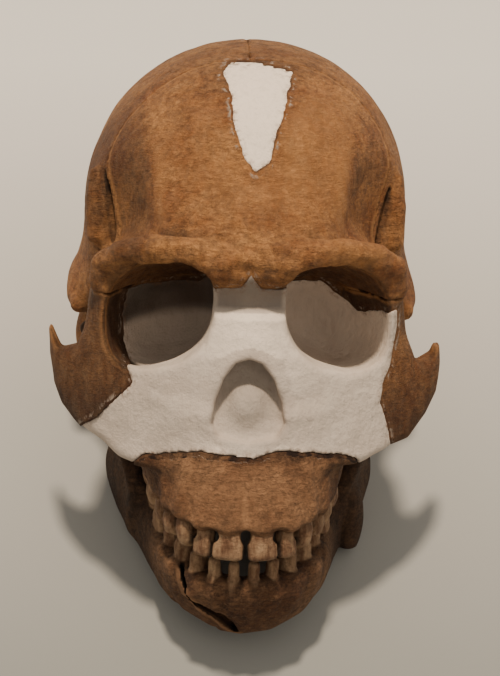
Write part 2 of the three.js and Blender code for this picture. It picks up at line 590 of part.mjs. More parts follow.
function makeBones() {
  const depths = [[-98, 5], [-38, 10], [82, 10]];
  const heights = [[-64, 5], [16, 3.7], [38, 10], [98, 10]];
  const widths = [[-71, 10], [-61, 5], [61, 10], [71, 10]];
  const bulk = solid(surface(cranium, steps(widths), steps(depths), steps(heights)));
  const jawAxes = [steps([[-60, 5], [60, 5]]), steps([[-96, 5], [12, 5]]), steps([[-94, 4.6], [4, 4.6]])];
  const jawRoom = solid(surface((x, y, z) => ramus(x, y, z) - JAW_CLEARANCE, ...jawAxes));
  const whole = [eyeSocket(1), eyeSocket(-1), noseOpening(), jawRoom].reduce((a, b) => a.subtract(b), bulk);
  const bones = {};
  let rest = whole;
  let upperJaw;
  [upperJaw, rest] = split(rest, MAXILLA, 26, 120, FRONT_VIEW);
  [bones.midface_plaster, rest] = split(rest, MIDFACE, 34, 120, FRONT_VIEW);
  [bones.zygomatic_left, rest] = cheek(rest, 1);
  [bones.zygomatic_right, rest] = cheek(rest, -1);
  [bones.frontal_patch, rest] = split(rest, PATCH, 20, 120, FRONT_VIEW);
  [bones.frontal_bone, rest] = split(rest, FRONTAL, -80, 80, SIDE_VIEW);
  [bones.temporal_left, rest] = split(rest, TEMPORAL, 25, 80, SIDE_VIEW);
  [bones.temporal_right, rest] = split(rest, TEMPORAL, -80, -25, SIDE_VIEW);
  [bones.occipital_bone, rest] = split(rest, OCCIPITAL, -80, 80, SIDE_VIEW);
  [bones.parietal_left, rest] = split(rest, PARIETAL, 0.15, 80, SIDE_VIEW);
  [bones.parietal_right, rest] = split(rest, PARIETAL, -80, -0.15, SIDE_VIEW);
  bones.sphenoid_bone = rest;
  bones.maxilla = largest(toothRow(UPPER_TEETH, ARCH, true).reduce((a, b) => a.add(b), upperJaw));
  const jaw = solid(surface(lowerJaw, ...jawAxes));
  bones.mandible = largest(toothRow(LOWER_TEETH, LOWER_ARCH, false).reduce((a, b) => a.add(b), jaw));
  return bones;
}

const COLOURS = { bone: 0x8a5a30, plaster: 0xd9cdbf };
const skull = new THREE.Group();
skull.rotation.x = THREE.MathUtils.degToRad(-REST_TILT);
skull.position.set(0, REST_SHIFT, -FLOOR_LEVEL);
skull.updateMatrix();
// What lies under the floor is cut away, which leaves the small flats that the skull stands on
const room = new THREE.BoxGeometry(300, 300, 300).translate(0, 0, 150);
const aboveFloor = solid(room.applyMatrix4(skull.matrix.clone().invert()));
for (const [name, bone] of Object.entries(makeBones())) {
  const body = largest(bone.intersect(aboveFloor));
  const plaster = name.includes("plaster") || name.includes("patch");
  const material = new THREE.MeshStandardMaterial({
    color: plaster ? COLOURS.plaster : COLOURS.bone,
    roughness: plaster ? 0.9 : 0.65,
    metalness: 0,
  });
  const mesh = new THREE.Mesh(geometryOf(body), material);
  mesh.name = name;
  skull.add(mesh);
}
export default new THREE.Group().add(skull);
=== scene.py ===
"""The look of the fossil skull: brown bone, white plaster, worn teeth, dark clefts, and painted light and
shade.

Each bone of the frame is replaced by one finely modelled bone of the same outline. The bones are
modelled as distances in millimetres, in the frame of the skull itself: x to its own left, y to
its back, z up, with the ears at zero. Negative is inside. They are then tipped back as it rests.
"""

import math

import bpy
import numpy as np
import openvdb
from mathutils import Matrix, Vector


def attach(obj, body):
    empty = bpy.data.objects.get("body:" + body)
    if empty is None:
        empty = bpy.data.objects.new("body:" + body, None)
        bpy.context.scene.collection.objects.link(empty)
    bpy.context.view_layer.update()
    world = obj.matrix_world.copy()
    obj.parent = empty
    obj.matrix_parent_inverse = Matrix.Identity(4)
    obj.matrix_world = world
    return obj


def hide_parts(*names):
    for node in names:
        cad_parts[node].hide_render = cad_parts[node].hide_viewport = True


REST_TILT = 31.9
FLOOR_LEVEL = -44.2
REST_SHIFT = 14.1

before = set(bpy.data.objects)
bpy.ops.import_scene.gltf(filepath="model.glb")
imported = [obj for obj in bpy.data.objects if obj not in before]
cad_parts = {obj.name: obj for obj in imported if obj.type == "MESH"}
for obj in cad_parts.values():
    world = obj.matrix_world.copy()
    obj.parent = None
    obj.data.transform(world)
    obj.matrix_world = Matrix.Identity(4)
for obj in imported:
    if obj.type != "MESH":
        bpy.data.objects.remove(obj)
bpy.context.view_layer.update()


# Distances
def mix(a, b, t):
    return a + (b - a) * t


def smin(a, b, k):
    h = np.maximum(k - np.abs(a - b), 0) / k
    return np.minimum(a, b) - h * h * (k / 4)


def smax(a, b, k):
    return -smin(-a, -b, k)


def ellipsoid(p, centre, radii):
    u, v, w = [(p[i] - centre[i]) / radii[i] for i in range(3)]
    near = np.sqrt(u * u + v * v + w * w)
    slope = np.sqrt((u / radii[0]) ** 2 + (v / radii[1]) ** 2 + (w / radii[2]) ** 2)
    return near * (near - 1) / np.maximum(slope, 1e-6)


def rod(p, points):
    best = np.float32(1e9)
    for a, b in zip(points, points[1:]):
        d = [b[i] - a[i] for i in range(3)]
        along = sum((p[i] - a[i]) * d[i] for i in range(3)) / sum(v * v for v in d)
        t = np.clip(along, 0, 1)
        far = np.sqrt(sum((p[i] - a[i] - t * d[i]) ** 2 for i in range(3)))
        best = np.minimum(best, far - (a[3] + (b[3] - a[3]) * t))
    return best


def outline(u, v, points):
    near = np.float32(1e9)
    inside = np.zeros(np.broadcast(u, v).shape, bool)
    for (ax, ay), (bx, by) in zip(points, points[-1:] + points[:-1]):
        dx, dy = bx - ax, by - ay
        t = np.clip(((u - ax) * dx + (v - ay) * dy) / (dx * dx + dy * dy), 0, 1)
        near = np.minimum(near, np.hypot(u - ax - t * dx, v - ay - t * dy))
        if ay != by:
            inside ^= ((ay > v) != (by > v)) & (u < dx * (v - ay) / dy + ax)
    return np.where(inside, -near, near)


def follow(table, at):
    return np.interp(at, [row[0] for row in table], [row[1] for row in table])


def power_sum(a, b, power):
    return (a**power + b**power) ** (1 / power)


def ramp_up(value, start, width):
    return np.clip((value - start) / width, 0, 1)


def ramp_down(value, end, width):
    return np.clip((end - value) / width, 0, 1)


def bell(value, width):
    return np.exp(-((value / width) ** 2))


# Braincase: the centre of the vault, and how far it reaches from there
VAULT_Y = 8
VAULT_Z = 30
VAULT_SIDE = 52.2
VAULT_FRONT = 70
VAULT_BACK = 60
VAULT_TOP = 55.5
VAULT_BASE = 50
VAULT_LEAN = 0.035  # the top leans to the left


def vault(x, y, z):
    back, up = y - VAULT_Y, z - VAULT_Z
    u = np.abs(x - VAULT_LEAN * np.maximum(up, 0)) / VAULT_SIDE
    v = np.where(back < 0, -back / VAULT_FRONT, back / VAULT_BACK)
    w = np.where(up > 0, up / VAULT_TOP, -up / VAULT_BASE)
    size = np.maximum(power_sum(power_sum(u, v, 2.4), w, 2.15), 1e-6)
    return np.sqrt(x * x + back * back + up**2) * (1 - 1 / size)


EAR_CREST = [(53, -12, 1.5, 2.6), (52.4, -4, 3, 4.4), (51.5, 12, 7, 4.6), (46, 30, 13, 3.4)]
NUCHAL_LINE = [(0, 64.5, 9, 4), (18, 62, 10, 4), (34, 53, 9, 3.5), (45, 36, 6, 3)]
PTERYGOID = [(12, -30, -16, 4.2), (13.5, -33, -27, 3.2), (15, -35, -36, 2.4)]


def braincase(x, y, z):
    side = np.abs(x)
    p, q = (x, y, z), (side, y, z)
    d = smin(vault(x, y, z), ellipsoid(p, (0, -48, 29), (31, 25, 20)), 8)
    d = smax(d, -ellipsoid(q, (88.9, -70.9, 40), (63, 63, 80)), 3)
    d = smin(d, ellipsoid(p, (0, 2, 8), (55.4, 38, 24)), 10)
    d = smin(d, ellipsoid(p, (0, 36, 2), (43, 31, 26.4)), 9)
    d = smin(d, rod(q, EAR_CREST), 6)
    d = smin(d, rod(q, NUCHAL_LINE), 7)
    d = smin(d, ellipsoid(q, (46.5, 13, -13), (8.5, 10.5, 14)), 6)
    d = smin(d, ellipsoid(q, (10.5, 0, -21), (5, 8.5, 5)), 4)
    d = smin(d, ellipsoid(p, (0, -20, -10), (16, 24, 12)), 8)
    d = smin(d, rod(q, PTERYGOID), 5)
    return smax(d, -ellipsoid(p, (0, 17, -27), (12.5, 15.5, 12)), 3)


# Face
BROW = [(0, -71.8, 26.6, 5), (8, -73.4, 27, 5.6), (18, -73.8, 30.8, 4.7), (28, -71.4, 31.8, 4.2),
        (37, -66.5, 29.4, 4.2), (42.8, -60.8, 24.8, 4.2), (43.9, -58.4, 19.8, 3.6)]
MIDLINE = [(-60, 89), (-47, 88), (-36, 84), (-28, 82), (-12, 81), (0, 79.4), (12, 76.4),
           (15, 72), (21, 69.4), (27, 72)]
MASK = [(0, 30), (40, 27), (46, 20), (47, 12), (49.8, 4), (52.8, -4.2), (56.4, -3.2), (57.6, -0.7),
        (61.3, -0.9), (61.6, -8), (60.4, -16.4), (57.2, -22.8), (51, -29.6), (46, -30.6),
        (39, -32.4), (33, -34.4),
        (-32, -35.4), (-38, -34), (-44, -31), (-50, -27.8), (-52.8, -25.6), (-56.8, -21.8),
        (-59.8, -15.6), (-61.4, -7), (-61.6, 0.6), (-60.6, 3), (-58.6, 2.4), (-55.4, -2.6), (-52.2, -1.4),
        (-50.4, 2.4), (-48.4, 8.7), (-47, 15.5), (-45.5, 21), (-40, 27)]


FACE_SLOPE = 0.1  # the face falls back to its sides
FACE_CURVE = 0.0085
BITE_FRONT = -57
BITE_SLOPE = 0.228
CANINES = -84


def face_front(x, z):
    side = np.sqrt(x * x + 9) - 3
    return -(follow(MIDLINE, z) - FACE_SLOPE * side - FACE_CURVE * side * side)


def arch_plan(x, y, half, depth, back, power):
    forward = np.maximum(back - y, 0)
    size = np.maximum(power_sum(np.abs(x) / half, forward / depth, power), 1e-3)
    return np.hypot(x, forward) * (1 - 1 / size)


def bite_plane(y):
    """Height of the biting edge, level at the front teeth and rising behind the canines."""
    return BITE_FRONT + BITE_SLOPE * np.maximum(y - CANINES, 0)


def jaw_block(x, y, z):
    drop = ramp_down(z, -24, 24)
    plan = arch_plan(x, y, mix(34.5, 30.6, drop), mix(47, 57, drop), -36, 2.4)
    margin = bite_plane(y) + 9.6 - z
    return smax(smax(plan, margin, 3), np.maximum(z + 14, y + 31), 4)


def face(x, y, z):
    q = (np.abs(x), y, z)
    front = (face_front(x, z) - y) * 0.82
    rim = outline(x, z, MASK) + 1.2
    plate = smax(smax(front, y - face_front(x, z) - 9, 3), rim, 4)
    core = ellipsoid((x, y, z), (0, -47, -8), (33, 34, 27))
    core = smax(smax(core, front, 3), rim, 4)
    d = smin(plate, core, 4)
    d = smin(d, ellipsoid(q, (26, -48, 11.5), (21, 25, 21)), 5)
    d = smin(d, rod(q, BROW), 7)
    d = smin(d, jaw_block(x, y, z), 4)
    palate = arch_plan(x, y, 19.5, 43, -30, 2.4)
    return smax(d, -smax(palate, z - bite_plane(y) - 18, 6), 3)


SOCKET_SIDE = 26.7
SOCKET_FRONT = -66
SOCKET_HEIGHT = 11.5
SOCKET_HALF_BREADTH = 16.2
SOCKET_HALF_HEIGHT = 15.6
SOCKET_DEPTH = 29


def eye_socket(x, y, z):
    """A socket and its mirror image, narrowing inwards and downwards towards its back."""
    deep = np.maximum(y - SOCKET_FRONT, 0)
    out = np.abs(x) - SOCKET_SIDE + deep * 0.2
    u = np.abs(out) / SOCKET_HALF_BREADTH
    v = np.abs(z - SOCKET_HEIGHT + 0.24 * out + 0.2 * deep) / SOCKET_HALF_HEIGHT
    w = deep / SOCKET_DEPTH
    return (power_sum(power_sum(u, v, 2.4), w, 2.4) - 1) * 15.5


NOSE = [(0, 0.2), (3.4, -1), (6.9, -5.4), (9.3, -12.2), (10.3, -17.6), (8.2, -21.4), (0, -23)]
NOSE_FILL = [(-90, -82), (-23, -80.4), (-15.6, -77.6), (-4, -71.5), (6, -69)]


def nose_opening(x, y, z):
    edge = outline(np.abs(x), z, NOSE + [(-3, -23), (-3, 0.2)])
    fill = smin(follow(NOSE_FILL, z) - y, ellipsoid((x, y, z), (0, -72, -15.4), (7.8, 7.8, 9)), 2)
    return smax(edge - 0.3, -fill, 1.6)


def cranium(x, y, z):
    d = smin(braincase(x, y, z), face(x, y, z), 6)
    d = smax(d, -eye_socket(x, y, z), 1.6)
    d = smax(d, -nose_opening(x, y, z), 1.4)
    return smax(d, 1.2 - ramus(x, y, z), 1)


# Lower jaw
JAW_PATH = [(0, -76.8, -75.8, 11.2, 6.8, 0.62), (9.5, -74.8, -74.8, 10.8, 6.8, 0.52),
            (16.5, -68.5, -72.4, 10.4, 6.4, 0.34), (21, -58, -69.2, 10.4, 6.2, 0.16),
            (24.4, -46, -65.4, 10.4, 6.4, 0.06), (29.6, -33, -61, 9.6, 5.8, 0),
            (35.6, -20, -56, 7.8, 4.4, 0), (39, -12, -52, 6, 3.6, 0)]
RAMUS = [(-5, -4.5), (3, -8), (1.5, -20), (-2.5, -38), (-5.5, -52), (-11, -59.5), (-22, -64), (-36, -66),
         (-43, -56), (-40, -40), (-38.5, -22), (-34.5, -10.5), (-30.5, -12), (-24, -20.5),
         (-15, -21.5), (-8.5, -13)]


def jaw_body(x, y, z):
    side = np.abs(x)
    near = np.float32(1e9) + 0 * side * y
    shape = [0, 0, 1, 1, 0]
    for a, b in zip(JAW_PATH, JAW_PATH[1:]):
        dx, dy = b[0] - a[0], b[1] - a[1]
        t = np.clip(((side - a[0]) * dx + (y - a[1]) * dy) / (dx * dx + dy * dy), 0, 1)
        ox, oy = side - a[0] - t * dx, y - a[1] - t * dy
        far = np.hypot(ox, oy)
        closer = far < near
        near = np.where(closer, far, near)
        outward = np.where(oy * dx - ox * dy < 0, far, -far)
        new = [outward] + [mix(a[k], b[k], t) for k in (2, 3, 4, 5)]
        shape = [np.where(closer, n, s) for n, s in zip(new, shape)]
    outward, height, half, thick, lean = shape
    w = z - height
    u = outward - lean * w
    size = np.maximum(power_sum(np.abs(u) / thick, np.abs(w) / half, 2.6), 1e-3)
    return np.hypot(u, w) * (1 - 1 / size)


def ramus(x, y, z):
    side = np.abs(x)
    inward = np.clip((-y - 14) * 0.3, 0, np.where(x < 0, 5, 7.5)) * ramp_down(z, -26, 26)
    middle = np.where(x < 0, 37.2, 38.8) + (z + 52) * 0.1 - inward
    slab = smax(outline(y, z, RAMUS) + 0.6, np.abs(side - middle) - 3.1, 3)
    return smin(slab, ellipsoid((side, y, z), (44.4, -2, -8.6), (8.6, 4.2, 4.6)), 4)


def lower_jaw(x, y, z):
    return smin(jaw_body(x, y, z), ramus(x, y, z), 6)


# Teeth: kind, width along the arch, depth across it, crown height
UPPER_TEETH = [("incisor", 9.2, 6.6, 8.8), ("incisor", 6.6, 6.2, 8.4), ("canine", 7.6, 8.2, 9.4),
               ("premolar", 7.5, 9.8, 7.2), ("premolar", 7.8, 10.2, 7), ("molar", 11, 11.2, 6.8),
               ("molar", 11.6, 11.8, 6.8), ("molar", 10.2, 11, 6.6)]
LOWER_TEETH = [("incisor", 5.6, 6, 9.6), ("incisor", 5.9, 6.2, 9.8), ("canine", 6.6, 7.4, 11.4),
               ("premolar", 7.9, 8.4, 7.4), ("premolar", 8, 8.8, 7), ("molar", 11.4, 10.6, 6.8),
               ("molar", 12, 11, 6.8), ("molar", 11.4, 10.4, 6.6)]
ARCH = (25.6, 59.4, -30, 2.3)
LOWER_ARCH = (24, 54.2, -30, 2.2)
ROOT = 7
LOWER_ROOT = 3
PEG = {"incisor": 0.6, "canine": 0.64, "premolar": 0.85, "molar": 0.97}  # the lower teeth are worn to pegs
BITE_GAP = 1.2
UPPER_WIDER = 1.01
UPPER_LEAN = 0.3
LOWER_LEAN = 0.22
PROFILES = {
    "incisor": [(0, 0.5), (0.4, 0.72), (0.52, 0.86), (0.72, 0.97), (0.97, 1.0)],
    "canine": [(0, 0.55), (0.4, 0.8), (0.52, 0.93), (0.7, 0.96), (0.85, 0.8), (0.98, 0.5)],
    "premolar": [(0, 0.6), (0.42, 0.82), (0.55, 0.95), (0.75, 1.0), (0.98, 0.78)],
    "molar": [(0, 0.65), (0.45, 0.88), (0.56, 0.97), (0.75, 1.0), (0.98, 0.84)],
}


def tooth_places(arch, widths):
    half, depth, back, power = arch
    a = np.linspace(0, math.pi / 2, 401)
    px = half * np.sin(a) ** (2 / power)
    py = back - depth * np.cos(a) ** (2 / power)
    length = np.concatenate([[0], np.cumsum(np.hypot(np.diff(px), np.diff(py)))])
    places, edge = [], 0
    for width in widths:
        i = int(np.searchsorted(length, edge + width / 2))
        edge += width
        j, k = max(i - 6, 0), min(i + 6, 400)
        places.append((px[i], py[i], math.atan2(py[k] - py[j], px[k] - px[j])))
    return places


def tooth(p, shape, place, upper):
    """Distance to a tooth and to its mirror image."""
    kind, width, depth, crown = shape
    width *= UPPER_WIDER if upper else PEG[kind]
    x, y, heading = place
    neck = bite_plane(y) + (crown if upper else -crown - BITE_GAP)
    dx, dy = np.abs(p[0]) - x, p[1] - y
    dz = (p[2] - neck) * (-1 if upper else 1)
    c, s = math.cos(heading), math.sin(heading)
    along, across = dx * c + dy * s, dy * c - dx * s
    lean = min(max((-y - 70) / 23, 0), 1) * (UPPER_LEAN if upper else LOWER_LEAN)
    c, s = math.cos(lean), math.sin(lean)
    up, across = dz * c - across * s, across * c + dz * s
    rise = (up + ROOT) / (crown + ROOT)
    profile = PROFILES[kind]
    r = follow(profile, rise)
    if not upper and kind in ("incisor", "canine"):
        r = mix(r, 0.92, 0.65)
    thin = np.clip(up / crown, 0, 1)
    edge = 0.55 if kind == "incisor" else 1
    u = np.abs(along) / (width / 2 * r)
    v = np.abs(across) / (depth / 2 * r * mix(1, edge, thin))
    size = power_sum(u, v, 2.6 if kind in ("molar", "incisor") else 2.2)
    d = (size - 1) * (min(width, depth) / 2.4)
    top = up - crown + 0.25
    if kind in ("molar", "premolar"):
        top = top + 0.5 * np.cos(along * 6.3 / width * 1.6) * np.cos(across * 6.3 / depth)
    return smax(smax(d, top, 1.6), -up - (ROOT if upper else LOWER_ROOT), 2)


# Regions that part one bone from the next
MAXILLA = [(-33, -32.6), (-30.6, -30), (-21, -28.3), (-13.7, -26.4), (-6, -27), (1.4, -27.4),
           (9.6, -25.9), (15.5, -26.1), (28, -28.8), (33.4, -30.9), (34.8, -36),
           (40, -42), (40, -75), (-40, -75), (-40, -42), (-34.2, -37)]
MIDFACE = [(0, 25.4), (3.2, 20.8), (10.2, 20.6), (14, 17), (22.4, 17.4), (30, 11.8),
           (34.4, 8.4), (38.6, 10.3), (44.2, 13), (44.2, 6.4), (43.2, -1.4),
           (41, -8.8), (40, -15), (43, -24.7), (47.2, -40), (-56, -40), (-50.6, -27.2), (-41, -17.6),
           (-34, -9), (-35.8, -4.8), (-37, -1), (-37.6, 6), (-36, 15.5), (-14, 16),
           (-9.4, 20.8), (-3, 21.2)]
CHEEK = [(33, -45), (70, -45), (70, 15.8), (30, 15.8), (30, -20)]
CHEEK_RIGHT = [(-u, v) for u, v in CHEEK]
PATCH = [(-8.8, 78), (-6.4, 81), (2.4, 81.6), (12.8, 79), (11, 73.4), (8.8, 66), (6.2, 59.6), (5.4, 55),
         (1, 52.4), (-2.7, 57.4), (-5.2, 65.4), (-6.2, 73.4)]
FRONTAL = [(-20, 100), (-20, 81), (-24, 60), (-29, 42), (-34, 27), (-46, 16.2), (-120, 15.9), (-120, 100)]
TEMPORAL = [(-31, -34), (-33, -4), (-30, 9), (-27, 22), (-14, 31), (3, 32), (17, 25), (27, 12), (28, 0),
            (24, -34)]
OCCIPITAL = [(90, 62), (57, 57), (44, 36), (31, 15), (27, 6), (12, 2), (-8, -4), (-10, -60), (90, -60)]
PARIETAL = [(-60, 10), (80, 10), (80, 110), (-60, 110)]


def front_cut(points, start):
    return lambda x, y, z: np.maximum(outline(x, z, points), y + start)


def side_cut(points, low, high):
    return lambda x, y, z: np.maximum(outline(y, z, points), np.maximum(low - x, x - high))


# In the order of the cuts: region, spacing of its grid, the box that it is modelled in
CUTS = [
    ("maxilla", front_cut(MAXILLA, 26), 0.5, ((-37, 37), (-97, -25), (-57, -24))),
    ("midface_plaster", front_cut(MIDFACE, 34), 0.6, ((-54, 50), (-88, -32), (-39, 28))),
    ("zygomatic_left", front_cut(CHEEK, 37), 0.6, ((28, 64), (-78, -35), (-35, 18))),
    ("zygomatic_right", front_cut(CHEEK_RIGHT, 37), 0.6, ((-64, -28), (-78, -35), (-35, 18))),
    ("frontal_patch", front_cut(PATCH, 20), 0.6, ((-14, 14), (-64, -18), (50, 86))),
    ("frontal_bone", side_cut(FRONTAL, -80, 80), 0.7, ((-52, 52), (-82, -18), (13, 88))),
    ("temporal_left", side_cut(TEMPORAL, 25, 80), 0.8, ((23, 60), (-36, 30), (-36, 35))),
    ("temporal_right", side_cut(TEMPORAL, -80, -25), 0.8, ((-60, -23), (-36, 30), (-36, 35))),
    ("occipital_bone", side_cut(OCCIPITAL, -80, 80), 0.9, ((-53, 53), (-13, 72), (-32, 61))),
    ("parietal_left", side_cut(PARIETAL, 0.1, 80), 0.7, ((-2, 54), (-50, 66), (8, 88))),
    ("parietal_right", side_cut(PARIETAL, -80, -0.1), 0.7, ((-54, 2), (-50, 66), (8, 88))),
    ("sphenoid_bone", None, 0.9, ((-53, 53), (-80, 31), (-38, 30))),
    ("mandible", None, 0.6, ((-57, 57), (-94, 7), (-91, 0))),
]
REGIONS = {cut[0]: cut[1] for cut in CUTS}
PLASTER = ("midface_plaster", "frontal_patch")
JAWS = ("maxilla", "mandible")
PLASTER_GAP = 0.05  # half of the gap between the upper jaw and the plaster over it
SUTURE = -0.22  # bones reach this far into each other, so that a suture is only a fine line


# Noise on a grid: random values on a lattice, smoothed along each axis in turn
LATTICE_START = -200


def lattice_weights(at, size):
    t = (at - LATTICE_START) / size
    i = np.floor(t).astype(int)
    f = t - i
    taps = [(1 - f) ** 3 / 6, (3 * f**3 - 6 * f**2 + 4) / 6,
            (-3 * f**3 + 3 * f**2 + 3 * f + 1) / 6, f**3 / 6]
    low = i.min()
    out = np.zeros((len(at), i.max() - low + 4), np.float32)
    for k, tap in enumerate(taps):
        out[np.arange(len(at)), i - low + k] = tap
    return out, low


def noise(axes, sizes, seed):
    if np.isscalar(sizes):
        sizes = (sizes,) * 3
    (wx, ix), (wy, iy), (wz, iz) = [lattice_weights(a, s) for a, s in zip(axes, sizes)]
    i = np.arange(wx.shape[1])[:, None, None] + ix
    j = np.arange(wy.shape[1])[None, :, None] + iy
    k = np.arange(wz.shape[1])[None, None, :] + iz
    # A hash gives each lattice point its value, the same one in every bone's grid
    h = (i * 73856093 ^ j * 19349663 ^ k * 83492791 ^ seed * 2654435761) & 0xFFFFFFFF
    h = ((h ^ (h >> 15)) * 2246822519) & 0xFFFFFFFF
    h = ((h ^ (h >> 13)) * 3266489917) & 0xFFFFFFFF
    values = ((h ^ (h >> 16)) & 0xFFFF).astype(np.float32) / 32767.5 - 1
    out = np.tensordot(wx, values, (1, 0))
    out = np.moveaxis(np.tensordot(wy, out, (1, 1)), 0, 1)
    return np.moveaxis(np.tensordot(wz, out, (1, 2)), 0, 2) * 2.2


BAND = 5.0  # distances are kept as far as this from the surface


def mesh_of(field, axes):
    field = np.clip(field, -BAND, BAND).astype(np.float32)
    for axis in range(3):
        for end in (0, -1):
            edge = [slice(None)] * 3
            edge[axis] = end
            field[tuple(edge)] = BAND
    grid = openvdb.FloatGrid(BAND)
    grid.copyFromArray(field)
    points, quads = grid.convertToQuads(isovalue=0.0)
    step = np.array([a[1] - a[0] for a in axes])
    points = points * step + np.array([a[0] for a in axes])
    return points, quads


def keep_largest(points, quads):
    parent = np.arange(len(points))
    for _ in range(200):
        low = parent[quads].min(axis=1)
        before = parent.copy()
        for k in range(4):
            np.minimum.at(parent, quads[:, k], low)
        parent = parent[parent]
        if (parent == before).all():
            break
    roots, counts = np.unique(parent[quads[:, 0]], return_counts=True)
    quads = quads[parent[quads[:, 0]] == roots[counts.argmax()]]
    used = np.unique(quads)
    renumber = np.zeros(len(points), int)
    renumber[used] = np.arange(len(used))
    return points[used], renumber[quads]


TILT = math.radians(-REST_TILT)
TURN = np.array([[1, 0, 0], [0, math.cos(TILT), -math.sin(TILT)], [0, math.sin(TILT), math.cos(TILT)]])
SHIFT = np.array([0, REST_SHIFT, -FLOOR_LEVEL])


def to_world(points):
    return (np.asarray(points) @ TURN.T + SHIFT) / 1000


def floor_distance(y, z):
    return -(TURN[2, 1] * y + TURN[2, 2] * z + SHIFT[2] - 0.05)


# Relief of the surfaces
FISSURES = [[(-44, -26, 47, 0.4), (-43, -27.6, 42, 1), (-42, -29, 35, 1.5), (-40.8, -31, 27, 1.3)],
            [(44.2, -25.6, 44, 0.4), (43.6, -26.8, 40.6, 0.9), (42.4, -28.5, 34.4, 1.3),
             (40.5, -31.5, 27, 1.2)]]
SQUAMA = [(47.4, -22.6, 46, 1.4), (47, -24, 38, 2.9), (46.4, -26, 27, 3.2)]
PALATE_CRACK = [(-0.4, -81, -30, 0.7), (-0.6, -86, -38, 0.6), (-0.2, -91.4, -46, 0.6)]
CHIN_CRACK = [(-18.6, -76.4, -62, 0.5), (-17.2, -79, -68, 0.9), (-15.6, -79.2, -72.6, 1.1),
              (-11.6, -80, -75.4, 1.4), (-7, -80.4, -78, 1.8), (-4, -79.4, -80.8, 1.8),
              (-1.4, -77, -84.6, 1)]
CHIN_SLAB = ((-19, -74, -82), (13, 10, 9))  # the bone below the crack has sunk
SLAB_DEPTH = 1.1
SEAM_WIDTH = 3
JAW_FLANGE = ((34.4, -34, -61), (5.2, 9, 13))  # the broken edge of the left ramus stands out
JAW_NOTCH = -70.4  # and ends at this height
EAR_PLASTER = (-55, 9, 11)
NEAR = 1.5  # how far from the surface creases and ridges are felt for
FAR = 6  # and hollows


def bone_relief(axes, y, z):
    d = 0.5 * noise(axes, 19, 1) + 0.2 * noise(axes, 7.5, 2) + 0.1 * noise(axes, 3, 3)
    brow = bell(z - 29, 8) * ramp_down(y, -52, 8)
    wrinkles = 0.46 * noise(axes, (4.5, 5, 1.7), 4) + 0.36 * noise(axes, 1.8, 5)
    return d + brow * wrinkles


def plaster_relief(axes):
    strokes = noise(axes, (2, 3, 9), 7) + noise(axes, (9, 3, 2), 8)
    lumps = 0.42 * noise(axes, 11, 6) + 0.1 * strokes + 0.16 * noise(axes, 4.5, 16)
    return lumps + 0.05 * noise(axes, 1.8, 9)


def root_ridges(p, teeth, arch, upper):
    """The roots of the front teeth, which stand a little proud of the bone in front of them."""
    d = np.float32(1e9)
    bone, up = (cranium, 1) if upper else (lower_jaw, -1)
    reach = np.arange(-8, 14, 0.1)
    for shape, (x, y, heading) in zip(teeth[:5], tooth_places(arch, [t[1] for t in teeth])):
        neck = bite_plane(y) + (shape[3] if upper else -shape[3] - BITE_GAP)
        long = (16 if shape[0] == "canine" else 11) if upper else 8
        points = []
        for rise, radius, proud in ((2.5, shape[1] * 0.34, 0.9), (long, shape[1] * 0.2, 0.25)):
            height = neck + up * rise
            ahead_x, ahead_y = x + math.sin(heading) * reach, y - math.cos(heading) * reach
            inside = bone(ahead_x, ahead_y, height + 0 * reach) < 0
            s = reach[inside].max() + proud - radius
            points.append((x + math.sin(heading) * s, y - math.cos(heading) * s, height, radius))
        d = np.minimum(d, rod((np.abs(p[0]), p[1], p[2]), points))
    return d


def neck_pits(p, teeth, arch):
    """Dark hollows between the necks of the upper front teeth, where bone has worn away."""
    places = tooth_places(arch, [t[1] for t in teeth])
    q = (np.abs(p[0]), p[1], p[2])
    front = places[0][1]
    d = ellipsoid(q, (0, front - 1.5, bite_plane(front) + 7.6), (1.6, 4.4, 2.5))
    for k in range(5):
        x, y = [(places[k][i] + places[k + 1][i]) / 2 for i in (0, 1)]
        neck = bite_plane(y) + teeth[k][3] - 1.8
        d = np.minimum(d, ellipsoid(q, (x * 1.04, y - 1.4, neck), (1.25, 2.2, 1.9)))
    return d


def parted(name, field, x, y, z, edge_noise):
    """The field of one bone: the whole inside its own cut and outside all earlier ones."""
    for cut, region, _, _ in CUTS:
        if region is None:
            continue
        r = region(x, y, z) + edge_noise
        gap = PLASTER_GAP if cut == "maxilla" or name == "maxilla" else SUTURE
        if cut == name:
            return smax(field, r + gap, 0.15)
        field = smax(field, gap - r, 0.15)
    return field


def sample(field, axes, p):
    out = 0
    idx, frac = [], []
    for k in range(3):
        t = (p[:, k] - axes[k][0]) / (axes[k][1] - axes[k][0])
        t = np.clip(t, 0, len(axes[k]) - 1.001)
        i = t.astype(int)
        idx.append(i)
        frac.append(t - i)
    for a in (0, 1):
        for b in (0, 1):
            for c in (0, 1):
                w = np.abs(1 - a - frac[0]) * np.abs(1 - b - frac[1]) * np.abs(1 - c - frac[2])
                out = out + w * field[idx[0] + a, idx[1] + b, idx[2] + c]
    return out


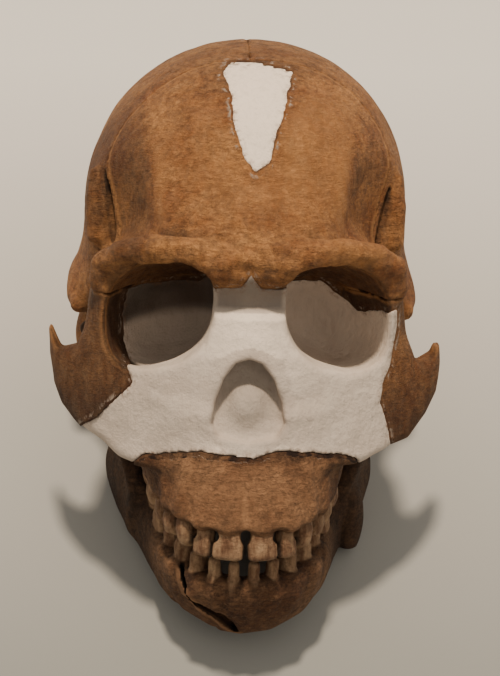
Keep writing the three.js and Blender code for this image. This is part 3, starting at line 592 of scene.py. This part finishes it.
def build_field(name, axes):
    x, y, z = axes[0][:, None, None], axes[1][None, :, None], axes[2][None, None, :]
    p = (x, y, z)
    plaster = name in PLASTER
    ragged = 0.5 * noise(axes, 3.4, 11) + 0.3 * noise(axes, 1.5, 12)
    crown = None
    if name == "mandible":
        d = smin(lower_jaw(x, y, z), root_ridges(p, LOWER_TEETH, LOWER_ARCH, False), 1.6)
        d = smin(d, smax(ellipsoid(p, *JAW_FLANGE), JAW_NOTCH - z, 0.5), 0.8)
        d = d + bone_relief(axes, y, z)
        d = d + SLAB_DEPTH * np.clip(0.5 - ellipsoid(p, *CHIN_SLAB), 0, 1)
        for deeper in (0, 1.6, 3):
            d = smax(d, -rod((x, y - deeper, z - deeper * 0.3), CHIN_CRACK), 0.3)
    else:
        d = cranium(x, y, z)
        if name == "maxilla":
            d = smin(d, root_ridges(p, UPPER_TEETH, ARCH, True), 1.6)
            d = smax(d, -rod(p, PALATE_CRACK), 0.4)
        d = smin(d, rod((np.abs(x), y, z), SQUAMA), 2)
        d = d + (plaster_relief(axes) if plaster else bone_relief(axes, y, z))
        for fissure in FISSURES:
            d = smax(d, -rod(p, fissure), 1)
        d = parted(name, d, x, y, z, ragged)
    if name in JAWS:
        upper = name == "maxilla"
        teeth, arch = (UPPER_TEETH, ARCH) if upper else (LOWER_TEETH, LOWER_ARCH)
        crown = np.full(d.shape, 9.0)
        for shape, place in zip(teeth, tooth_places(arch, [t[1] for t in teeth])):
            crown = np.minimum(crown, tooth(p, shape, place, upper))
        crown = crown + 0.12 * noise(axes, 3, 13) + 0.06 * noise(axes, 1.2, 14)
        bone = d
        d = smin(d, crown, 0.7 if upper else 1.2)
        if upper:
            d = smax(d, -neck_pits(p, teeth, arch), 0.5)
        crown = bone - crown
    return smax(d, floor_distance(y, z), 0.3), crown, ragged


def normals_of(points, quads):
    p = points[quads]
    face = np.cross(p[:, 2] - p[:, 0], p[:, 3] - p[:, 1])
    out = np.zeros_like(points)
    for k in range(4):
        for c in range(3):
            out[:, c] += np.bincount(quads[:, k], face[:, c], len(points))
    return out / np.maximum(np.linalg.norm(out, axis=1, keepdims=True), 1e-9)


def plain_skull(p):
    x, y, z = p[:, 0], p[:, 1], p[:, 2]
    return np.minimum(cranium(x, y, z), lower_jaw(x, y, z))


def attribute(mesh, name, values):
    mesh.attributes.new(name, "FLOAT", "POINT").data.foreach_set("value", np.asarray(values, np.float32))


def make_bone(name, spacing, box):
    coarse = 1
    axes = [np.arange(low, high, spacing * coarse, dtype=np.float32) for low, high in box]
    field, crown, ragged = build_field(name, axes)
    points, quads = keep_largest(*mesh_of(field, axes))
    a, b, c = [points[quads[:, k]] for k in range(3)]
    if np.einsum("ij,ij->i", a, np.cross(b, c)).sum() < 0:  # inside out
        quads = quads[:, ::-1]
    normal = normals_of(points, quads)
    # Occlusion near and far, for dirt and painted shade in creases and hollows; convexity, for wear and
    # painted highlights on ridges.
    fine = 1 - sample(field, axes, points + normal * NEAR) / NEAR
    wide = 1 - plain_skull(points + normal * FAR) / FAR
    ridge = 1 + sample(field, axes, points - normal * NEAR) / NEAR
    mesh = bpy.data.meshes.new(name)
    mesh.from_pydata(to_world(points).tolist(), [], quads.tolist())
    mesh.shade_smooth()
    attribute(mesh, "crease", np.clip(fine, 0, 1.5))
    attribute(mesh, "hollow", np.clip(wide, 0, 1.5))
    attribute(mesh, "ridge", np.clip(ridge, 0, 1))
    no_crown = np.zeros(len(points))
    attribute(mesh, "crown", no_crown if crown is None else np.clip(sample(crown, axes, points), -1, 1))
    attribute(mesh, "tone_and_painted_light", tone_and_painted_light(name, points))
    attribute(mesh, "seam", seam(name, points, sample(ragged, axes, points)))
    piece = bpy.data.objects.new(name + "_look", mesh)
    bpy.context.collection.objects.link(piece)
    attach(piece, "root")
    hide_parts(name)
    print(name, len(quads) * 2, "triangles")
    return piece


def seam(name, p, ragged):
    """1 at the edge between plaster and bone, 0 from SEAM_WIDTH away from it."""
    maxilla, midface, patch = [REGIONS[k](*p.T) + ragged for k in ("maxilla", *PLASTER)]
    away = np.minimum(np.abs(np.maximum(midface, -maxilla)), np.abs(patch))
    edge = np.clip(1 - away / SEAM_WIDTH, 0, 1)
    if name == "maxilla":  # its broken upper edge is dark
        return np.where(edge < 0.55, 0, 1.07)
    return np.maximum(edge, np.clip(1.3 - np.linalg.norm(p - EAR_PLASTER, axis=1) / 5, 0, 0.75))


def plaster_tone(x, y, z, in_socket):
    side = np.abs(x)
    # Painted shade: the brow's shadow on the nose bridge, and the shade on the mound and deep in the nose
    # opening.
    bridge = ramp_up(z, 13.6, 1.6) * ramp_down(side, 11, 2)
    mound = np.clip(1.6 - np.hypot(x / 8.5, (z + 12) / 10), 0, 1) * 0.35
    nose = 0.4 * ramp_up(y, -79.5, 3) * (side < 10.5) * (z > -24) * (z < 1)
    dark = -np.maximum(np.maximum(bridge * 0.85, mound * 1.3), nose * 1.25)
    # Painted highlight on the top of the nose and on its sill, and painted light towards the skull's left
    # side.
    lit = bell(x, 11) * (ramp_up(z, -2, 4) + ramp_down(z, -21, 3))
    out = np.where(dark < 0, dark, 0.9 * lit + 0.2 * ramp_up(x, 0, 20))
    # Painted shadow of the brow over the top of the skull's right socket; the plaster in the left socket is
    # lighter.
    roof_shadow = 1.7 * ramp_up(z - 7.5 - 0.15 * x, 0, 4) * (x < 0)
    return mix(out, np.where(x < 0, 0, 0.3) - roof_shadow, in_socket)


def bone_tone(name, x, y, z, in_socket):
    side = np.abs(x)
    # Painted highlight on the forehead, to the skull's left, where the light falls.
    out = 0.75 * bell(x - 13, 26) * ramp_up(z, 34, 14) * ramp_down(z, 80, 12) * (y < 20)
    out -= 0.45 * ramp_up(z, 70, 12) * (y < 30)
    temporal_line = 28.5 + 4 * ramp_down(z, 34, 10) + 0.12 * np.clip(z - 50, 0, 40)
    front = ramp_up(z, 24, 8) * ramp_down(y, 10, 20)
    beyond = ramp_up(side, temporal_line, 3.5) * front * ramp_down(z, 80, 20)
    # The temples darker beyond the temporal line: stain, with painted shade making the skull's right side
    # much darker.
    out = mix(out, np.where(x < 0, -0.72, -0.15), beyond)
    out += 0.7 * bell(side - temporal_line + 1.5, 1.8) * ramp_up(z, 34, 6) * ramp_down(z, 62, 10)
    out -= 0.4 * bell(REGIONS["frontal_patch"](x, y, z), 4) * (y < -20)
    # The brow: painted light on its top towards the skull's left, painted shade at its right end and under
    # its edge.
    brow = bell(z - 29, 7) * ramp_down(y, -52, 8)
    above = 0.75 * ramp_up(x, 18, 10) - 0.15 * ramp_down(x, -30, 8)
    out += brow * (above * ramp_up(z, 26, 4) - 0.8 * ramp_down(z, 26, 5))
    # Painted shade in the eye sockets.
    out = mix(out, -0.95, in_socket)
    if name == "mandible":
        # Painted shade on the lower jaw, deepest towards its back under the face.
        out -= 0.45 + 0.55 * ramp_up(y, -66, 14)
    if name == "maxilla":
        out += 0.35 * bell(x, 24) - 0.9 * ramp_up(z, -30, 2.5) - 0.5 * ramp_up(side, 22, 6)
    if name.startswith("zygomatic"):
        # The cheekbones darker, and darker below: stain, with painted shade making the skull's right one
        # darker still.
        out -= (1 if name.endswith("right") else 0.6) + 0.4 * ramp_down(z, -8, 14)
    return out


def tone_and_painted_light(name, p):
    """How much lighter or darker than its neighbours a place is, by stains and by painted light and shade:
    about -1 dark, 1 light.
    """
    x, y, z = p.T
    # The socket walls, which get painted shade, and lighter plaster in the skull's left socket.
    in_socket = np.clip(1 - np.abs(eye_socket(x, y, z)) / 1.5, 0, 1) * (y > -67)
    if name == "midface_plaster":
        return plaster_tone(x, y, z, in_socket)
    if name == "frontal_patch":
        return 0.9 + 0 * x
    return bone_tone(name, x, y, z, in_socket)


# Materials
def node(tree, kind, inputs=None, **settings):
    made = tree.nodes.new("ShaderNode" + kind)
    for key, value in settings.items():
        setattr(made, key, value)
    for key, value in (inputs or {}).items():
        socket = made.inputs[key]
        if isinstance(value, bpy.types.NodeSocket):
            tree.links.new(value, socket)
        else:
            socket.default_value = value
    return made


class Shading:
    """Short words for the nodes of one material."""

    def __init__(self, name):
        self.material = bpy.data.materials.new(name)
        self.material.use_nodes = True
        self.tree = self.material.node_tree
        self.shader = self.tree.nodes["Principled BSDF"]
        self.shader.inputs["Specular IOR Level"].default_value = 0.25
        where = node(self.tree, "TexCoord").outputs["Object"]
        turned = {"Vector": where, "Rotation": (-TILT, 0, 0), "Scale": (1000, 1000, 1000)}
        self.at = node(self.tree, "Mapping", turned).outputs[0]

    def noise(self, size, stretch=(1, 1, 1), detail=5, rough=0.6, warp=0.0):
        scale = tuple(1 / (size * s) for s in stretch)
        at = node(self.tree, "Mapping", {"Vector": self.at, "Scale": scale}).outputs[0]
        inputs = {"Vector": at, "Scale": 1, "Detail": detail, "Roughness": rough, "Distortion": warp}
        return node(self.tree, "TexNoise", inputs).outputs["Fac"]

    def ramp(self, value, low, high):
        inputs = {"Value": value, "From Min": low, "From Max": high}
        return node(self.tree, "MapRange", inputs, clamp=True).outputs[0]

    def math(self, operation, a, b):
        return node(self.tree, "Math", {0: a, 1: b}, operation=operation).outputs[0]

    def attribute(self, name):
        return node(self.tree, "Attribute", attribute_name=name).outputs["Fac"]

    def mix(self, factor, a, b, blend="MIX"):
        made = node(self.tree, "Mix", data_type="RGBA", blend_type=blend)
        for socket, value in zip([made.inputs[0], made.inputs[6], made.inputs[7]], [factor, a, b]):
            if isinstance(value, bpy.types.NodeSocket):
                self.tree.links.new(value, socket)
            else:
                socket.default_value = value if np.isscalar(value) else (*value, 1)
        return made.outputs[2]

    def tint(self, colour, towards, where, share):
        """The colour, mixed towards another by this share of a mask."""
        return self.mix(self.math("MULTIPLY", where, share), colour, towards)

    def finish(self, colour, roughness, height, distance):
        self.tree.links.new(colour, self.shader.inputs["Base Color"])
        self.tree.links.new(roughness, self.shader.inputs["Roughness"])
        bump = node(self.tree, "Bump", {"Height": height, "Strength": 1, "Distance": distance})
        self.tree.links.new(bump.outputs[0], self.shader.inputs["Normal"])
        return self.material


def bone_material(name, mid, light, dark, deepest, shade):
    s = Shading(name)
    patches = s.ramp(s.noise(22, detail=7, rough=0.7), 0.38, 0.62)
    colour = s.mix(patches, mid, light)
    blotches = s.ramp(s.noise(9, (1, 1, 1.4), detail=8, rough=0.74, warp=0.5), 0.5, 0.66)
    colour = s.tint(colour, dark, blotches, 0.62)
    mottle = s.ramp(s.noise(2.6, detail=9, rough=0.8, warp=0.4), 0.47, 0.62)
    colour = s.tint(colour, dark, mottle, 0.6)
    fibres = s.ramp(s.noise(1.5, (1.7, 1.7, 0.5), detail=7, rough=0.75, warp=0.7), 0.46, 0.64)
    colour = s.tint(colour, dark, fibres, 0.5)
    pale = s.ramp(s.noise(1.8, (1.2, 1.2, 0.8), detail=8, rough=0.78), 0.54, 0.68)
    colour = s.tint(colour, light, pale, 0.75)
    specks = s.ramp(s.noise(0.8, detail=6, rough=0.8), 0.52, 0.66)
    colour = s.tint(colour, dark, specks, 0.55)
    tone_and_light = s.attribute("tone_and_painted_light")
    # Lighter above zero, with painted highlights; darker below zero, with stains and painted shade.
    colour = s.tint(colour, light, s.ramp(tone_and_light, 0, 1), 0.6)
    colour = s.mix(s.ramp(tone_and_light, 0, -1.3), colour, shade, "MULTIPLY")
    seam_value = s.attribute("seam")
    # Ridges lighter: wear, and a painted highlight on the ridge edges.
    worn = s.math("MULTIPLY", s.ramp(s.attribute("ridge"), 0.25, 0.8), 0.5)
    colour = s.mix(s.math("MULTIPLY", worn, s.ramp(seam_value, 0.5, 0.1)), colour, light)
    # Darker in hollows: dirt and painted shade.
    colour = s.tint(colour, dark, s.ramp(s.attribute("hollow"), 0.45, 1.1), 0.6)
    smeared = s.ramp(s.noise(3, (1, 1, 1.8), detail=7, rough=0.7, warp=0.5), 0.52, 0.6)
    near = s.math("MULTIPLY", s.ramp(seam_value, 0.35, 0.65), s.ramp(seam_value, 0.8, 0.74))
    colour = s.mix(s.math("MULTIPLY", near, smeared), colour, SMEAR)
    cracked = s.math("MAXIMUM", s.ramp(s.noise(5, detail=4), 0.44, 0.56), s.ramp(seam_value, 1.05, 1.15))
    colour = s.mix(s.math("MULTIPLY", s.ramp(seam_value, 0.8, 0.97), cracked), colour, dark)
    # Darkest in creases: dirt and painted shade.
    crease = s.attribute("crease")
    colour = s.tint(colour, deepest, s.ramp(crease, 0.15, 0.7), 0.9)
    teeth = s.mix(s.ramp(s.noise(4, (0.6, 0.6, 1.6), detail=7), 0.38, 0.66), TOOTH_DARK, TOOTH_LIGHT)
    teeth = s.tint(teeth, dark, specks, 0.5)
    # Teeth darkest in the gaps between them: dirt and painted shade.
    teeth = s.tint(teeth, deepest, s.ramp(crease, 0.25, 1.1), 0.85)
    is_tooth = s.ramp(s.attribute("crown"), -0.1, 0.5)
    colour = s.mix(is_tooth, colour, teeth)
    pits = s.noise(1, detail=6, rough=0.78)
    height = s.math("ADD", s.math("MULTIPLY", s.noise(3.2, detail=9, rough=0.75), 1.5), pits)
    height = s.math("SUBTRACT", height, s.math("MULTIPLY", fibres, 0.25))
    roughness = s.math("ADD", s.math("MULTIPLY", is_tooth, -0.12), s.ramp(pits, -0.6, 1))
    return s.finish(colour, roughness, height, 0.001)


def plaster_material():
    s = Shading("plaster")
    cloud = s.ramp(s.noise(14, detail=7, rough=0.65), 0.3, 0.7)
    colour = s.mix(cloud, (0.53, 0.425, 0.335), (0.65, 0.54, 0.435))
    tone_and_light = s.attribute("tone_and_painted_light")
    # Lighter above zero: painted highlights, and the lighter frontal patch.
    colour = s.tint(colour, (0.94, 0.78, 0.615), s.ramp(tone_and_light, 0, 1), 0.9)
    strokes = s.noise(1.6, (1, 1, 6), detail=6, rough=0.7, warp=0.6)
    colour = s.tint(colour, (0.34, 0.27, 0.22), s.ramp(strokes, 0.5, 0.8), 0.35)
    # Painted shade below zero, darkest where the painted shade is deepest.
    colour = s.tint(colour, (0.15, 0.125, 0.1), s.ramp(tone_and_light, 0, -1), 0.8)
    colour = s.tint(colour, (0.03, 0.016, 0.009), s.ramp(tone_and_light, -0.5, -1.9), 0.95)
    stained = s.ramp(s.noise(2.2, detail=8, rough=0.75), 0.48, 0.66)
    smeared = s.math("MULTIPLY", s.ramp(s.attribute("seam"), 0.3, 1), stained)
    colour = s.mix(smeared, colour, (0.17, 0.08, 0.04))
    # Darker in creases and hollows: dirt and painted shade.
    colour = s.tint(colour, (0.16, 0.1, 0.07), s.ramp(s.attribute("crease"), 0.15, 0.9), 0.6)
    colour = s.tint(colour, (0.26, 0.2, 0.15), s.ramp(s.attribute("hollow"), 0.45, 1.1), 0.12)
    height = s.math("ADD", s.noise(3, detail=9, rough=0.66), s.math("MULTIPLY", strokes, 0.35))
    return s.finish(colour, s.ramp(strokes, -2.5, 0.9), height, 0.0008)


SMEAR = (0.5, 0.4, 0.31)
TOOTH_DARK = (0.21, 0.1, 0.05)
TOOTH_LIGHT = (0.55, 0.34, 0.185)
MATERIALS = {
    "fossil_bone": bone_material(
        "fossil_bone",
        mid=(0.28, 0.088, 0.02),
        light=(0.62, 0.277, 0.085),
        dark=(0.06, 0.0175, 0.0052),
        deepest=(0.008, 0.0036, 0.0018),
        shade=(0.13, 0.1, 0.09),
    ),
    # Darker colours than the fossil bone: the jaws' own colour, and painted shade for the lower face.
    "jaw_bone": bone_material(
        "jaw_bone",
        mid=(0.2, 0.082, 0.033),
        light=(0.47, 0.24, 0.112),
        dark=(0.028, 0.0125, 0.007),
        deepest=(0.005, 0.0026, 0.0015),
        shade=(0.11, 0.11, 0.12),
    ),
    "plaster": plaster_material(),
}


def slot_of(name):
    if name in PLASTER:
        return "plaster"
    return "jaw_bone" if name in JAWS else "fossil_bone"


for bone_name, _, bone_spacing, bone_box in CUTS:
    bone_piece = make_bone(bone_name, bone_spacing, bone_box)
    slot_name = slot_of(bone_name)
    bone_piece.data.materials.append(MATERIALS[slot_name])


# Floor, light and camera, in metres
FLOOR_REACH = 6
WORLD_STRENGTH = 0.62


def floor_plane():
    mesh = bpy.data.meshes.new("floor")
    r = FLOOR_REACH
    mesh.from_pydata([(-r, -r, 0), (r, -r, 0), (r, r, 0), (-r, r, 0)], [], [(0, 1, 2, 3)])
    plane = bpy.data.objects.new("floor", mesh)
    s = Shading("floor")
    depth = node(s.tree, "SeparateXYZ", {"Vector": node(s.tree, "TexCoord").outputs["Object"]}).outputs["Y"]
    # Painted light falloff: the floor darker towards the front, lighter towards the back.
    colour = s.mix(s.ramp(depth, -0.12, 0.2), (0.26, 0.255, 0.226), (0.72, 0.665, 0.59))
    colour = s.tint(colour, (0.3, 0.28, 0.25), s.noise(60), 0.06)
    mesh.materials.append(s.finish(colour, s.ramp(s.noise(20), -3, 1), s.noise(2), 0.00002))
    bpy.context.collection.objects.link(plane)


def area_light(name, place, target, size, energy, colour):
    light = bpy.data.lights.new(name, "AREA")
    light.shape = "DISK"
    light.size, light.energy, light.color = size, energy, colour
    lamp = bpy.data.objects.new(name, light)
    lamp.location = place
    lamp.rotation_euler = (Vector(target) - Vector(place)).to_track_quat("-Z", "Y").to_euler()
    bpy.context.collection.objects.link(lamp)


floor_plane()
area_light("lamp_above", (-0.07, 0.17, 1.5), (0, 0, 0), size=0.14, energy=26, colour=(1, 0.86, 0.7))
area_light("lamp_front", (0.6, -0.9, 1.1), (0, 0, 0.05), size=0.8, energy=1.8, colour=(1, 0.92, 0.82))
world = bpy.data.worlds.new("room")
world.use_nodes = True
world.node_tree.nodes["Background"].inputs[0].default_value = (1, 0.95, 0.88, 1)
world.node_tree.nodes["Background"].inputs[1].default_value = WORLD_STRENGTH
bpy.context.scene.world = world

# The camera stands where the photo was taken: placed in the skull's own frame, then tipped with it
LOOK_DOWN = math.radians(13.2)
YAW = 0.042
ROLL = math.radians(1.7)
LENS = 105.2
CAMERA_AHEAD = 635.3  # millimetres before the ears and above them
CAMERA_ABOVE = 137.8
NOSE_AHEAD = 79  # the yaw turns the camera about the nose
ahead = np.array([YAW * math.cos(LOOK_DOWN), math.cos(LOOK_DOWN), -math.sin(LOOK_DOWN)])
ahead /= np.linalg.norm(ahead)
right = np.cross(ahead, (0, 0, 1))
right /= np.linalg.norm(right)
above = np.cross(right, ahead)
rolled_right = right * math.cos(ROLL) + above * math.sin(ROLL)
rolled_above = above * math.cos(ROLL) - right * math.sin(ROLL)
eye = to_world([-YAW * (CAMERA_AHEAD - NOSE_AHEAD), -CAMERA_AHEAD, CAMERA_ABOVE])
camera = bpy.data.objects.new("camera", bpy.data.cameras.new("camera"))
camera.data.lens = LENS
camera.data.clip_start = 0.05
turn = np.eye(4)
turn[:3] = np.column_stack([TURN @ rolled_right, TURN @ rolled_above, -TURN @ ahead, eye])
camera.matrix_world = Matrix(turn.tolist())
bpy.context.collection.objects.link(camera)
bpy.context.scene.camera = camera
